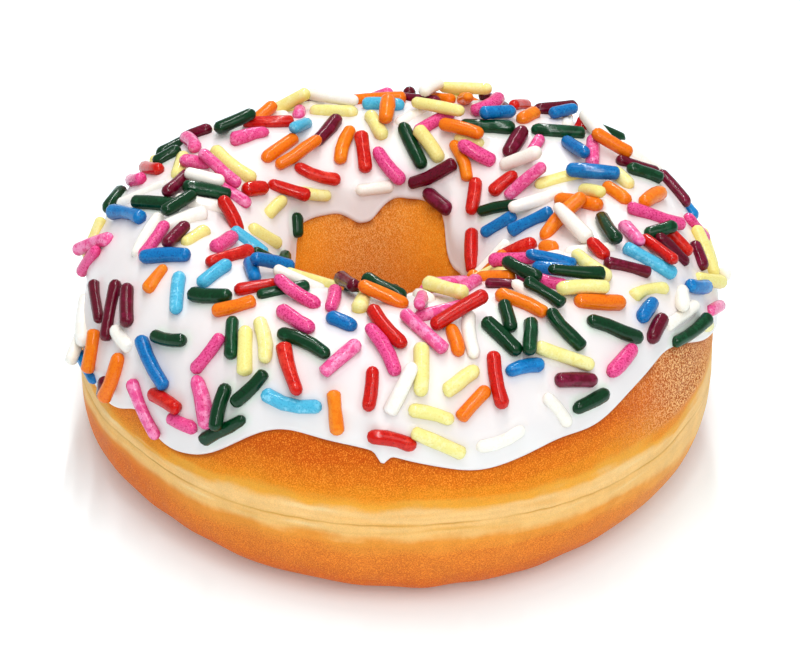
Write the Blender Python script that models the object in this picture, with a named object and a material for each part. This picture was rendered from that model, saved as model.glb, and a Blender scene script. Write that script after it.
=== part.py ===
"""A frosted ring doughnut: a round of baked dough with a seam round its side, and a coat of icing with drips.

Metres, +Z up. The origin is under the middle of the doughnut, on the surface that it stands on.
A bearing runs anticlockwise from +X, seen from above. A tilt runs round the dough's cross-section:
0 degrees points straight out at the seam, 90 up at the crown, 180 into the hole and 270 down at the foot.
"""

import bpy
import numpy as np

MM = 0.001

# The dough in plan, as if the ring were round, before the waves that make it uneven.
OUTER_RADIUS = 46.2 * MM
HOLE_RADIUS = 12.1 * MM
HOLE_SHIFT = -3.1 * MM
# Where the ring's middle stands, so that the whole doughnut is centred over the origin.
RING_MIDDLE = (-0.35 * MM, 0.5 * MM)

# The dough's cross-section, which reaches out and up by these amounts from a middle at the seam's height.
SEAM_HEIGHT = 14.4 * MM
OUT_REACH = 15.9 * MM
UP_REACH = 23.4 * MM
# The foot would sink this far under the floor, and is cut off flat there.
FOOT_SINK = 0.6 * MM
# 2 is an ellipse, and more is fuller at the shoulders.
TOP_FULLNESS = 2.1
FOOT_FULLNESS = 2.9

# How uneven the ring is: (waves in a full turn, cosine part, sine part).
PLAN_WAVES = ((2, 1.0 * MM, 0.3 * MM), (3, -0.2 * MM, 1.1 * MM))
SEAM_WAVES = ((1, 0.5 * MM, 0.0 * MM), (2, -1.0 * MM, 0.2 * MM))

SEAM_DEPTH = 0.4 * MM
SEAM_TURN = np.radians(3.0)

# The icing, and the gap that parts it from the dough.
ICING_THICKNESS = 1.5 * MM
ICING_GAP = 0.3 * MM
RIM_TURN = np.radians(4.5)
RIM_STEPS = np.radians((30.0, 60.0, 90.0))
OUTER_EDGE_HEIGHT = 27.5 * MM
INNER_EDGE_HEIGHT = 24.5 * MM

# Bumps are (bearing, rise, half width in degrees, squareness): where the crown of the dough dips at the back,
# and where the icing's edges leave their usual heights.
CROWN_BUMPS = ((102.0, -1.15 * MM, 38.0, 2.0),)
OUTER_EDGE_BUMPS = (
    (48.0, -5.0 * MM, 13.0, 2.0),
    (93.0, -7.0 * MM, 11.0, 2.0),
    (140.0, -4.5 * MM, 12.0, 2.0),
    (182.0, 5.3 * MM, 11.0, 2.0),
    (194.5, -1.1 * MM, 4.0, 2.0),
    (205.0, -10.0 * MM, 36.0, 6.0),
    (216.5, 3.0 * MM, 6.0, 2.0),
    (242.0, 0.7 * MM, 22.0, 2.0),
    (268.0, -1.2 * MM, 1.5, 2.0),
    (286.5, -3.6 * MM, 15.5, 2.0),
    (310.5, -1.8 * MM, 8.5, 2.0),
    (335.5, 1.3 * MM, 8.5, 2.0),
    (3.0, -6.8 * MM, 18.5, 2.0),
)
INNER_EDGE_BUMPS = (
    (82.0, 7.0 * MM, 26.0, 4.0),
    (110.0, 0.3 * MM, 3.5, 2.0),
    (133.0, 5.1 * MM, 21.5, 4.0),
    (215.0, -3.0 * MM, 14.0, 2.0),
    (260.0, 2.0 * MM, 15.0, 2.0),
    (300.0, -2.5 * MM, 12.0, 2.0),
)

# How finely the pieces are cut into faces.
COLUMNS = 72
PLAIN_ROWS = 29
SEAM_ROWS_TURN = np.radians((-3.5, 0.0, 3.5))
SEAM_CLEAR_TURN = np.radians(11.0)
TOP_ROWS = 10
UNDER_ROWS = 14

DOUGH_COLOUR = (0.66, 0.31, 0.08, 1.0)
ICING_COLOUR = (0.90, 0.86, 0.86, 1.0)


def clear_scene():
    for thing in list(bpy.data.objects):
        bpy.data.objects.remove(thing, do_unlink=True)


def waves(bearing, terms):
    """Sum of cosine and sine waves round the ring."""
    total = np.zeros_like(bearing)
    for turns, cosine_part, sine_part in terms:
        total += cosine_part * np.cos(turns * bearing) + sine_part * np.sin(turns * bearing)
    return total


def bumps(bearing, items):
    """Sum of rounded bumps: each is its rise times exp(-(degrees away / half width) ^ squareness)."""
    total = np.zeros_like(bearing)
    for middle, rise, half_width, squareness in items:
        away = (np.degrees(bearing) - middle + 180.0) % 360.0 - 180.0
        total += rise * np.exp(-np.abs(away / half_width) ** squareness)
    return total


def section(bearing):
    """The cross-section at a bearing: its middle's radius and height, and its reaches inwards, up and down."""
    middle_radius = OUTER_RADIUS - OUT_REACH + waves(bearing, PLAN_WAVES)
    middle_height = SEAM_HEIGHT + waves(bearing, SEAM_WAVES)
    in_reach = middle_radius - HOLE_RADIUS - HOLE_SHIFT * np.cos(bearing)
    up_reach = UP_REACH + bumps(bearing, CROWN_BUMPS)
    return middle_radius, middle_height, in_reach, up_reach, middle_height + FOOT_SINK


def skin(bearing, tilt, lift=0.0):
    """Points on the dough's skin, or a lift outside it along the section's normal.

    In each quarter of the section, (across / reach) ^ fullness + (upward / reach) ^ fullness = 1.
    """
    middle_radius, middle_height, in_reach, up_reach, down_reach = section(bearing)
    across = np.cos(tilt)
    upward = np.sin(tilt)
    width = np.where(across > 0, OUT_REACH, in_reach)
    height = np.where(upward > 0, up_reach, down_reach)
    fullness = np.where(upward > 0, TOP_FULLNESS, FOOT_FULLNESS)
    sum_of_powers = (np.abs(across) / width) ** fullness + (np.abs(upward) / height) ** fullness
    reach = sum_of_powers ** (-1.0 / fullness)
    normal_across = np.sign(across) * (reach * np.abs(across) / width) ** (fullness - 1) / width
    normal_upward = np.sign(upward) * (reach * np.abs(upward) / height) ** (fullness - 1) / height
    normal_length = np.hypot(normal_across, normal_upward)
    radius = middle_radius + reach * across + lift * normal_across / normal_length
    z = middle_height + reach * upward + lift * normal_upward / normal_length
    x = RING_MIDDLE[0] + radius * np.cos(bearing)
    y = RING_MIDDLE[1] + radius * np.sin(bearing)
    return np.stack((x, y, np.maximum(z, 0.0)), axis=-1)


def edge_tilt(bearing, height, side):
    """The tilt at which the dough's upper skin has this height, on its outer side (1) or in its hole (-1)."""
    _, middle_height, in_reach, up_reach, _ = section(bearing)
    width = OUT_REACH if side > 0 else in_reach
    rise = height - middle_height
    across = width * (1.0 - (rise / up_reach) ** TOP_FULLNESS) ** (1.0 / TOP_FULLNESS)
    return np.arctan2(rise, side * across)


def dough_rows(bearing):
    """Rows round the dough's whole section, closer together at the seam's groove."""
    plain_turns = np.linspace(SEAM_CLEAR_TURN, 2.0 * np.pi - SEAM_CLEAR_TURN, PLAIN_ROWS)
    rows = []
    for tilt in (*SEAM_ROWS_TURN, *plain_turns):
        groove = -SEAM_DEPTH * np.exp(-((tilt / SEAM_TURN) ** 2))
        rows.append(skin(bearing, tilt, groove))
    return np.stack(rows)


def between(outer, inner, share):
    """A tilt this share of the way from the outer edge to the inner one.

    Near the edges it follows their bumps, and halfway it is the same all round the ring.
    """
    steady = 4.0 * share * (1.0 - share)
    even = outer.mean() + share * (inner.mean() - outer.mean())
    return (1.0 - steady) * (outer + share * (inner - outer)) + steady * even


def icing_rows(bearing):
    """Rows over the icing's rounded rims and its top, and back along its underside."""
    outer = edge_tilt(bearing, OUTER_EDGE_HEIGHT + bumps(bearing, OUTER_EDGE_BUMPS), 1)
    inner = edge_tilt(bearing, INNER_EDGE_HEIGHT + bumps(bearing, INNER_EDGE_BUMPS), -1)
    rim_turns = RIM_TURN * (1.0 - np.cos(RIM_STEPS))
    rim_lifts = ICING_GAP + ICING_THICKNESS * np.sin(RIM_STEPS)
    rows = []
    for turn, lift in zip(rim_turns, rim_lifts):
        rows.append(skin(bearing, outer + turn, lift))
    for share in np.linspace(0.0, 1.0, TOP_ROWS + 2)[1:-1]:
        rows.append(skin(bearing, between(outer + RIM_TURN, inner - RIM_TURN, share), rim_lifts[-1]))
    for turn, lift in zip(rim_turns[::-1], rim_lifts[::-1]):
        rows.append(skin(bearing, inner - turn, lift))
    for share in np.linspace(1.0, 0.0, UNDER_ROWS):
        rows.append(skin(bearing, between(outer, inner, share), ICING_GAP))
    return np.stack(rows)


def ring_object(name, rows, material):
    """A closed skin through the rows. A row runs round the ring, and the rows run round its section."""
    row_count, column_count, _ = rows.shape
    row = np.arange(row_count)[:, None]
    column = np.arange(column_count)[None, :]
    next_row = (row + 1) % row_count
    next_column = (column + 1) % column_count
    corners = (
        row * column_count + column,
        row * column_count + next_column,
        next_row * column_count + next_column,
        next_row * column_count + column,
    )
    faces = np.stack(np.broadcast_arrays(*corners), axis=-1).reshape(-1, 4)
    mesh = bpy.data.meshes.new(name)
    mesh.from_pydata(rows.reshape(-1, 3).tolist(), [], faces.tolist())
    mesh.shade_smooth()
    mesh.materials.append(material)
    piece = bpy.data.objects.new(name, mesh)
    bpy.context.scene.collection.objects.link(piece)
    return piece


def plain_material(name, colour, roughness):
    material = bpy.data.materials.new(name)
    material.use_nodes = True
    shader = material.node_tree.nodes["Principled BSDF"]
    shader.inputs["Base Color"].default_value = colour
    shader.inputs["Roughness"].default_value = roughness
    shader.inputs["Metallic"].default_value = 0.0
    return material


def main():
    clear_scene()
    bearing = np.linspace(0.0, 2.0 * np.pi, COLUMNS, endpoint=False)
    ring_object("dough", dough_rows(bearing), plain_material("baked_dough", DOUGH_COLOUR, 0.6))
    ring_object("icing", icing_rows(bearing), plain_material("white_icing", ICING_COLOUR, 0.3))


main()
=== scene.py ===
"""The looks of a frosted ring doughnut: baked dough, a coat of white icing and a scatter of sugar sprinkles.

Lengths are metres and +Z is up. Each surface is a function of two numbers. The bearing runs anticlockwise round
the ring from +X, so the front is at 270 degrees. The tilt runs round the ring's section, from the seam on the
outside (0) over the crown (90 degrees) and down the hole (180) to the foot (270).
"""

from collections import namedtuple
from functools import lru_cache

import bpy
import numpy as np
from mathutils import Matrix, Vector


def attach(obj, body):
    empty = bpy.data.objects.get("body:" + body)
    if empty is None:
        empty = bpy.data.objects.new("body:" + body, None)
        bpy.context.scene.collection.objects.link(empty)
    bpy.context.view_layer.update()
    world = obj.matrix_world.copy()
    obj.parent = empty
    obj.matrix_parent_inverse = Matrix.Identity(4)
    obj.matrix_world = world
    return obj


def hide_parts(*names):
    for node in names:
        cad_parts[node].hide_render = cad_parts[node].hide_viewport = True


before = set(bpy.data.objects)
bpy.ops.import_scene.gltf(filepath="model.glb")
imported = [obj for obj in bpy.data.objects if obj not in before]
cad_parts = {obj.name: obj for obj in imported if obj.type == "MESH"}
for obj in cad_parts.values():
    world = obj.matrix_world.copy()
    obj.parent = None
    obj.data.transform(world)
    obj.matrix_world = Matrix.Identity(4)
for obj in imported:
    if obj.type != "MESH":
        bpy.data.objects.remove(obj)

bl_info = {
    "name": "Frosted Ring Doughnut",
    "version": (1, 0, 0),
    "blender": (4, 5, 0),
    "location": "View3D > Sidebar > Doughnut",
    "description": "Builds a frosted ring doughnut with sugar sprinkles and a small studio stage",
    "category": "Add Mesh",
}

MM = 0.001

# The ring. Waves are (turns round the ring, cosine part, sine part).
RING_MIDDLE = (-0.35 * MM, 0.5 * MM)
FOOT_SINK = 0.6 * MM
TOP_FULLNESS = 2.1
FOOT_FULLNESS = 2.9
PLAN_WAVES = ((2, 1.0 * MM, 0.3 * MM), (3, -0.2 * MM, 1.1 * MM))
SEAM_WAVES = ((1, 0.5 * MM, 0.0 * MM), (2, -1.0 * MM, 0.2 * MM))

# Bumps are (bearing, rise, half width, squareness), with the angles in degrees.
CROWN_BUMPS = ((102.0, -1.15 * MM, 38.0, 2.0),)
OUTER_EDGE_HEIGHT = 27.5 * MM
INNER_EDGE_HEIGHT = 24.5 * MM
OUTER_EDGE_BUMPS = (
    (48.0, -5.0 * MM, 13.0, 2.0),
    (93.0, -7.0 * MM, 11.0, 2.0),
    (140.0, -4.5 * MM, 12.0, 2.0),
    (182.0, 5.3 * MM, 11.0, 2.0),
    (194.5, -1.1 * MM, 4.0, 2.0),
    (205.0, -10.0 * MM, 36.0, 6.0),
    (216.5, 3.0 * MM, 6.0, 2.0),
    (242.0, 0.7 * MM, 22.0, 2.0),
    (268.0, -1.4 * MM, 1.1, 2.0),
    (286.5, -3.6 * MM, 15.5, 2.0),
    (310.5, -1.8 * MM, 8.5, 2.0),
    (335.5, 1.3 * MM, 8.5, 2.0),
    (3.0, -6.8 * MM, 18.5, 2.0),
)
INNER_EDGE_BUMPS = (
    (82.0, 7.0 * MM, 26.0, 4.0),
    (110.0, 0.3 * MM, 3.5, 2.0),
    (133.0, 5.1 * MM, 21.5, 4.0),
    (215.0, -3.0 * MM, 14.0, 2.0),
    (260.0, 2.0 * MM, 15.0, 2.0),
    (300.0, -2.5 * MM, 12.0, 2.0),
)
# Where the icing has run thicker before it set.
DRIP_BUMPS = ((0.0, 0.8, 13.0, 2.0), (203.0, 0.15, 14.0, 2.0), (284.0, 0.15, 12.0, 2.0), (93.0, 0.4, 12.0, 2.0))

# Where the crease of the seam strays up or down from the widest line of the dough.
CREASE_BUMPS = (
    (196.0, 0.3 * MM, 9.0, 2.0),
    (214.0, 0.45 * MM, 7.0, 2.0),
    (240.0, -0.45 * MM, 14.0, 2.0),
    (283.0, 0.6 * MM, 13.0, 2.0),
    (325.0, -0.5 * MM, 14.0, 2.0),
    (20.0, 0.4 * MM, 15.0, 2.0),
    (75.0, -0.4 * MM, 18.0, 2.0),
    (130.0, 0.45 * MM, 16.0, 2.0),
)
# Where the crust is paler or deeper than elsewhere.
PALE_BUMPS = (
    (338.0, 0.45, 24.0, 2.0),
    (205.0, -0.9, 24.0, 2.0),
    (60.0, 0.4, 30.0, 2.0),
    (120.0, -0.4, 30.0, 2.0),
)
# How far the brown of the underside climbs towards the seam.
UNDER_BUMPS = ((207.0, 0.5, 22.0, 2.0), (343.0, -2.3, 20.0, 2.0), (285.0, 0.3, 12.0, 2.0), (60.0, -1.0, 30.0, 2.0))
# How far the brown of the shoulder comes down towards it.
OVER_BUMPS = ((209.0, 2.4, 19.0, 2.0), (332.0, 1.3, 9.0, 2.0), (352.0, -1.2, 9.0, 2.0), (110.0, 0.8, 25.0, 2.0))
# Where the shoulder of the dough is grainy, as if its skin had cracked open.
GRAIN_BUMPS = (
    (340.0, 1.0, 14.0, 2.0),
    (20.0, 0.6, 18.0, 2.0),
    (110.0, 0.5, 25.0, 2.0),
    (183.0, 0.8, 11.0, 2.0),
)

# Where more sprinkles fell.
HEAP_BUMPS = ((295.0, 1.0, 60.0, 4.0), (85.0, 0.4, 50.0, 4.0))

DOUGH_COLUMNS = 600
ICING_COLUMNS = 640
CREASE_WIDTH = 0.13 * MM
LIP_WIDTH = 0.7 * MM
LIP_SHARE = 0.4
LIP_START = np.radians(-35.0)
TAPER_WIDTH = 5.0 * MM

# The nine sugars: name, share of the sprinkles, how deep they sink in the icing.
SUGARS = (
    ("green", 0.16, 0.45 * MM),
    ("blue", 0.11, 0.45 * MM),
    ("sky", 0.05, 0.45 * MM),
    ("pink", 0.14, 0.5 * MM),
    ("red", 0.09, 0.45 * MM),
    ("orange", 0.14, 0.5 * MM),
    ("yellow", 0.11, 0.7 * MM),
    ("white", 0.12, 1.0 * MM),
    ("plum", 0.07, 0.5 * MM),
)
# Each sugar's deeper specks, paler blotches and how strong the specks and the blotches are. The deeper colour also
# paints the shade on each sprinkle's lower side.
SUGAR_LOOKS = {
    "green": ((0.001, 0.020, 0.006), (0.005, 0.080, 0.028), 0.8, 0.7),
    "blue": ((0.001, 0.070, 0.280), (0.010, 0.260, 0.620), 0.8, 0.7),
    "sky": ((0.030, 0.260, 0.500), (0.260, 0.680, 0.880), 0.6, 0.8),
    "pink": ((0.520, 0.006, 0.100), (0.930, 0.310, 0.540), 0.8, 0.8),
    "red": ((0.360, 0.002, 0.001), (0.780, 0.050, 0.028), 0.8, 0.7),
    "orange": ((0.740, 0.095, 0.002), (0.900, 0.290, 0.012), 0.6, 0.6),
    "yellow": ((0.780, 0.600, 0.110), (0.900, 0.850, 0.430), 0.4, 0.7),
    "white": ((0.860, 0.780, 0.640), (0.950, 0.940, 0.900), 0.4, 0.8),
    "plum": ((0.055, 0.001, 0.005), (0.220, 0.008, 0.045), 0.8, 0.7),
}
SPRINKLE_SIDES = 10
SPRINKLE_SAMPLES = 9
CROSSING_SHARE = 0.22
UPRIGHT_SHARE = 0.012
FREE_TRIES = 18
CROSSING_TRIES = 2
HIGHEST_REST = 2.4 * MM
STEEP_REST = 1.1 * MM

# The arch of narrow lamps over the table, from the back to the front, that gleams along the sugar.
STRIPS = (
    (0.0, 0.557, 0.390),
    (0.0, 0.330, 0.595),
    (0.0, 0.036, 0.679),
    (0.0, -0.266, 0.626),
    (0.0, -0.510, 0.446),
)

Ring = namedtuple("Ring", "outer_radius hole_radius hole_shift seam_height out_reach up_reach thickness")
Scatter = namedtuple("Scatter", "count length thickness seed")


# Surfaces


def waves(bearing, terms):
    """The sum of cosine_part cos(turns bearing) + sine_part sin(turns bearing)."""
    total = np.zeros_like(bearing)
    for turns, cosine_part, sine_part in terms:
        total = total + cosine_part * np.cos(turns * bearing) + sine_part * np.sin(turns * bearing)
    return total


def bumps(bearing, items):
    """The sum of rise exp(-|away / half width|^squareness), where away is the angle from each bump's bearing."""
    total = np.zeros_like(bearing)
    for middle, rise, half_width, squareness in items:
        away = (np.degrees(bearing) - middle + 180.0) % 360.0 - 180.0
        total = total + rise * np.exp(-np.abs(away / half_width) ** squareness)
    return total


def ripples(bearing, tilt, seed, count, turns, rolls):
    """A smooth random field of about -1 to 1: count cosine waves, each with a whole number of turns round the
    ring, a whole number of rolls round the section and a random start, over the root of half their number."""
    draw = np.random.default_rng(seed)
    total = np.zeros(np.broadcast(bearing, tilt).shape)
    for _ in range(count):
        turn = draw.integers(turns[0], turns[1] + 1)
        roll = draw.integers(-rolls, rolls + 1)
        total += np.cos(turn * bearing + roll * tilt + draw.uniform(0.0, 2.0 * np.pi))
    return total / np.sqrt(count * 2.0)


def section(ring, bearing):
    """The cross-section at a bearing: its middle's radius and height, and its reaches inwards, up and down."""
    middle_radius = ring.outer_radius - ring.out_reach + waves(bearing, PLAN_WAVES)
    middle_height = ring.seam_height + waves(bearing, SEAM_WAVES)
    in_reach = middle_radius - ring.hole_radius - ring.hole_shift * np.cos(bearing)
    up_reach = ring.up_reach + bumps(bearing, CROWN_BUMPS)
    return middle_radius, middle_height, in_reach, up_reach, middle_height + FOOT_SINK


def outline(ring, bearing, tilt):
    """How far the skin is from its section's middle, and its normal across and up.

    reach = ((|cos tilt| / width)^fullness + (|sin tilt| / height)^fullness)^(-1 / fullness), whose width, height
    and fullness are those of the quarter that the tilt is in.
    """
    _, _, in_reach, up_reach, down_reach = section(ring, bearing)
    across = np.cos(tilt)
    upward = np.sin(tilt)
    width = np.where(across > 0, ring.out_reach, in_reach)
    height = np.where(upward > 0, up_reach, down_reach)
    fullness = np.where(upward > 0, TOP_FULLNESS, FOOT_FULLNESS)
    part_across = np.abs(across) / width
    part_upward = np.abs(upward) / height
    reach = (part_across**fullness + part_upward**fullness) ** (-1.0 / fullness)
    normal_across = np.sign(across) * (reach * part_across) ** (fullness - 1.0) / width
    normal_upward = np.sign(upward) * (reach * part_upward) ** (fullness - 1.0) / height
    length = np.hypot(normal_across, normal_upward)
    return reach, normal_across / length, normal_upward / length


def skin(ring, bearing, tilt, lift):
    """The point at a bearing and tilt, raised by lift along the section's normal and kept above the floor."""
    middle_radius, middle_height, _, _, _ = section(ring, bearing)
    reach, normal_across, normal_upward = outline(ring, bearing, tilt)
    radius = middle_radius + reach * np.cos(tilt) + lift * normal_across
    x = RING_MIDDLE[0] + radius * np.cos(bearing)
    y = RING_MIDDLE[1] + radius * np.sin(bearing)
    z = np.maximum(middle_height + reach * np.sin(tilt) + lift * normal_upward, 0.0)
    return np.stack(np.broadcast_arrays(x, y, z), axis=-1)


def edge_tilt(ring, bearing, height, side):
    """The tilt at which the upper skin has a height, on the outer side (1) or the hole's side (-1)."""
    _, middle_height, in_reach, up_reach, _ = section(ring, bearing)
    width = ring.out_reach if side > 0 else in_reach
    rise = height - middle_height
    across = width * (1.0 - (rise / up_reach) ** TOP_FULLNESS) ** (1.0 / TOP_FULLNESS)
    return np.arctan2(rise, side * across)


def icing_edges(ring, bearing):
    """The tilts of the icing's outer and inner edges."""
    fine = ripples(bearing, 0.0, 11, 14, (9, 34), 0)
    outer = OUTER_EDGE_HEIGHT + bumps(bearing, OUTER_EDGE_BUMPS) + 0.07 * MM * fine
    inner = INNER_EDGE_HEIGHT + bumps(bearing, INNER_EDGE_BUMPS) + 0.05 * MM * fine
    return edge_tilt(ring, bearing, outer, 1), edge_tilt(ring, bearing, inner, -1)


def smooth(share):
    """0 below 0, 1 above 1, and 3 share^2 - 2 share^3 between them."""
    share = np.clip(share, 0.0, 1.0)
    return share * share * (3.0 - 2.0 * share)


def lumps(bearing, tilt):
    """The dough's uneven rise: slow swells, with some shorter ones."""
    slow = ripples(bearing, tilt, 3, 16, (2, 7), 3)
    short = ripples(bearing, tilt, 4, 22, (8, 26), 9)
    return 0.22 * MM * slow + 0.09 * MM * short


def icing_lift(ring, bearing, tilt):
    """How far the top of the icing stands off the skin.

    The dough's lumps, and on them a lip that rises as a quarter circle over its width, with the rest of the
    thickness following smoothly over the taper. Swells and drips make the thickness uneven.
    """
    outer, inner = icing_edges(ring, bearing)
    reach, _, _ = outline(ring, bearing, tilt)
    inside = np.minimum(tilt - outer, inner - tilt) * reach
    lip = np.sqrt(1.0 - (1.0 - np.clip(inside / LIP_WIDTH, 0.0, 1.0)) ** 2)
    share = LIP_SHARE * lip + (1.0 - LIP_SHARE) * smooth(inside / TAPER_WIDTH)
    outer_side = smooth(1.0 - (tilt - outer) * reach / (9.0 * MM))
    drip = bumps(bearing, DRIP_BUMPS) * outer_side * MM
    swell = 0.16 * MM * ripples(bearing, tilt, 5, 18, (3, 14), 6)
    return 0.95 * lumps(bearing, tilt) + share * (ring.thickness + drip + swell)


def clearance(ring, points):
    """How far points are above the icing's top, along the skin's normal, close to the surface."""
    bearing = np.arctan2(points[..., 1] - RING_MIDDLE[1], points[..., 0] - RING_MIDDLE[0])
    middle_radius, middle_height, _, _, _ = section(ring, bearing)
    across = np.hypot(points[..., 0] - RING_MIDDLE[0], points[..., 1] - RING_MIDDLE[1]) - middle_radius
    upward = points[..., 2] - middle_height
    tilt = np.arctan2(upward, across)
    reach, normal_across, normal_upward = outline(ring, bearing, tilt)
    facing = np.cos(tilt) * normal_across + np.sin(tilt) * normal_upward
    return (np.hypot(across, upward) - reach) * facing - icing_lift(ring, bearing, tilt)


def overhang(ring, points):
    """How far points are past the icing's edges, along the skin, and less than nothing inside them."""
    bearing = np.arctan2(points[..., 1] - RING_MIDDLE[1], points[..., 0] - RING_MIDDLE[0])
    middle_radius, middle_height, _, _, _ = section(ring, bearing)
    across = np.hypot(points[..., 0] - RING_MIDDLE[0], points[..., 1] - RING_MIDDLE[1]) - middle_radius
    tilt = np.arctan2(points[..., 2] - middle_height, across)
    outer, inner = icing_edges(ring, bearing)
    return np.maximum(outer - tilt, tilt - inner) * ring.out_reach


# Meshes


def loft(name, rows, closed=True):
    """A mesh through rows of points that each close on themselves. The last row joins the first if closed."""
    count, columns = rows.shape[:2]
    row = np.arange(count if closed else count - 1)[:, None]
    column = np.arange(columns)[None, :]
    next_row = (row + 1) % count
    next_column = (column + 1) % columns
    corners = np.stack(
        np.broadcast_arrays(
            row * columns + column,
            row * columns + next_column,
            next_row * columns + next_column,
            next_row * columns + column,
        ),
        axis=-1,
    )
    return mesh_piece(name, rows.reshape(-1, 3), corners.reshape(-1, 4))


def mesh_piece(name, points, quads, triangles=None):
    """A smooth-shaded object at the origin with these points, quads and triangles."""
    mesh = bpy.data.meshes.new(name)
    sizes = np.full(len(quads), 4)
    corners = quads.reshape(-1)
    if triangles is not None:
        sizes = np.concatenate([sizes, np.full(len(triangles), 3)])
        corners = np.concatenate([corners, triangles.reshape(-1)])
    mesh.vertices.add(len(points))
    mesh.vertices.foreach_set("co", np.ascontiguousarray(points, dtype=np.float32).reshape(-1))
    mesh.loops.add(len(corners))
    mesh.loops.foreach_set("vertex_index", corners.astype(np.int32))
    mesh.polygons.add(len(sizes))
    mesh.polygons.foreach_set("loop_start", (np.cumsum(sizes) - sizes).astype(np.int32))
    mesh.update(calc_edges=True)
    mesh.validate()
    mesh.shade_smooth()
    piece = bpy.data.objects.new(name, mesh)
    bpy.context.scene.collection.objects.link(piece)
    return piece


def store(piece, name, values):
    """Keeps a number for each of a piece's points, for its material to read."""
    layer = piece.data.attributes.new(name, "FLOAT", "POINT")
    layer.data.foreach_set("value", np.ascontiguousarray(values, dtype=np.float32).reshape(-1))


def store_place(piece, name, values):
    """Keeps a place for each of a piece's points, for its material's patterns to follow."""
    layer = piece.data.attributes.new(name, "FLOAT_VECTOR", "POINT")
    layer.data.foreach_set("vector", np.ascontiguousarray(values, dtype=np.float32).reshape(-1))


def store_colour(piece, name, values):
    """Keeps a colour for each of a piece's points, for its material to read."""
    layer = piece.data.attributes.new(name, "FLOAT_COLOR", "POINT")
    layer.data.foreach_set("color", np.ascontiguousarray(values, dtype=np.float32).reshape(-1))


# Materials


class Recipe:
    """A material being put together from nodes."""

    def __init__(self, name):
        self.material = bpy.data.materials.new(name)
        self.material.use_nodes = True
        self.tree = self.material.node_tree
        self.surface = next(node for node in self.tree.nodes if node.type == "BSDF_PRINCIPLED")
        self.place = self.node("ShaderNodeTexCoord").outputs["Object"]

    def node(self, kind, **settings):
        made = self.tree.nodes.new(kind)
        for key, value in settings.items():
            setattr(made, key, value)
        return made

    def feed(self, socket, value):
        """Links an output to a socket, or sets the socket to a number or a colour."""
        if isinstance(value, bpy.types.NodeSocket):
            self.tree.links.new(value, socket)
        else:
            socket.default_value = value

    def attribute(self, name, output="Fac"):
        return self.node("ShaderNodeAttribute", attribute_name=name).outputs[output]

    def noise(self, grain, detail=2.0, roughness=0.5, distortion=0.0, place=None):
        """Noise whose blotches are about grain metres across, from 0 to 1."""
        made = self.node("ShaderNodeTexNoise")
        self.feed(made.inputs["Vector"], place or self.place)
        made.inputs["Scale"].default_value = 0.5 / grain
        made.inputs["Detail"].default_value = detail
        made.inputs["Roughness"].default_value = roughness
        made.inputs["Distortion"].default_value = distortion
        return made.outputs["Fac"]

    def stretched(self, place, share):
        """A place whose third part runs this many times faster, so that patterns are shorter that way."""
        made = self.node("ShaderNodeMapping")
        self.feed(made.inputs["Vector"], place)
        made.inputs["Scale"].default_value = (1.0, 1.0, share)
        return made.outputs["Vector"]

    def maths(self, operation, first, second=0.0, third=None):
        made = self.node("ShaderNodeMath", operation=operation)
        self.feed(made.inputs[0], first)
        self.feed(made.inputs[1], second)
        if third is not None:
            self.feed(made.inputs[2], third)
        return made.outputs[0]

    def span(self, value, low, high, start=0.0, end=1.0):
        """Maps low..high to start..end, smoothly and without going past the ends."""
        made = self.node("ShaderNodeMapRange", interpolation_type="SMOOTHSTEP")
        self.feed(made.inputs["Value"], value)
        made.inputs["From Min"].default_value = low
        made.inputs["From Max"].default_value = high
        made.inputs["To Min"].default_value = start
        made.inputs["To Max"].default_value = end
        return made.outputs["Result"]

    def mix(self, share, first, second, blend="MIX"):
        made = self.node("ShaderNodeMix", data_type="RGBA", blend_type=blend)
        self.feed(made.inputs["Factor"], share)
        self.feed(made.inputs[6], first)
        self.feed(made.inputs[7], second)
        return made.outputs[2]

    def ramp(self, value, low, high, stops):
        """A colour for each value from low to high, through stops of (value, colour)."""
        share = self.node("ShaderNodeMapRange")
        self.feed(share.inputs["Value"], value)
        share.inputs["From Min"].default_value = low
        share.inputs["From Max"].default_value = high
        made = self.node("ShaderNodeValToRGB")
        made.color_ramp.interpolation = "EASE"
        band = made.color_ramp.elements
        while len(band) < len(stops):
            band.new(0.5)
        for index, (at, colour) in enumerate(stops):
            band[index].position = (at - low) / (high - low)
            band[index].color = rgba(colour)
        self.feed(made.inputs["Fac"], share.outputs["Result"])
        return made.outputs["Color"]

    def relief(self, *layers):
        """Bumps from layers of (height, depth in metres), one over the other."""
        normal = None
        for height, depth in layers:
            made = self.node("ShaderNodeBump")
            made.inputs["Strength"].default_value = 1.0
            made.inputs["Distance"].default_value = depth
            self.feed(made.inputs["Height"], height)
            if normal is not None:
                self.feed(made.inputs["Normal"], normal)
            normal = made.outputs["Normal"]
        self.feed(self.surface.inputs["Normal"], normal)
        return normal


def rgba(colour):
    return (*tuple(colour)[:3], 1.0)


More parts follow.
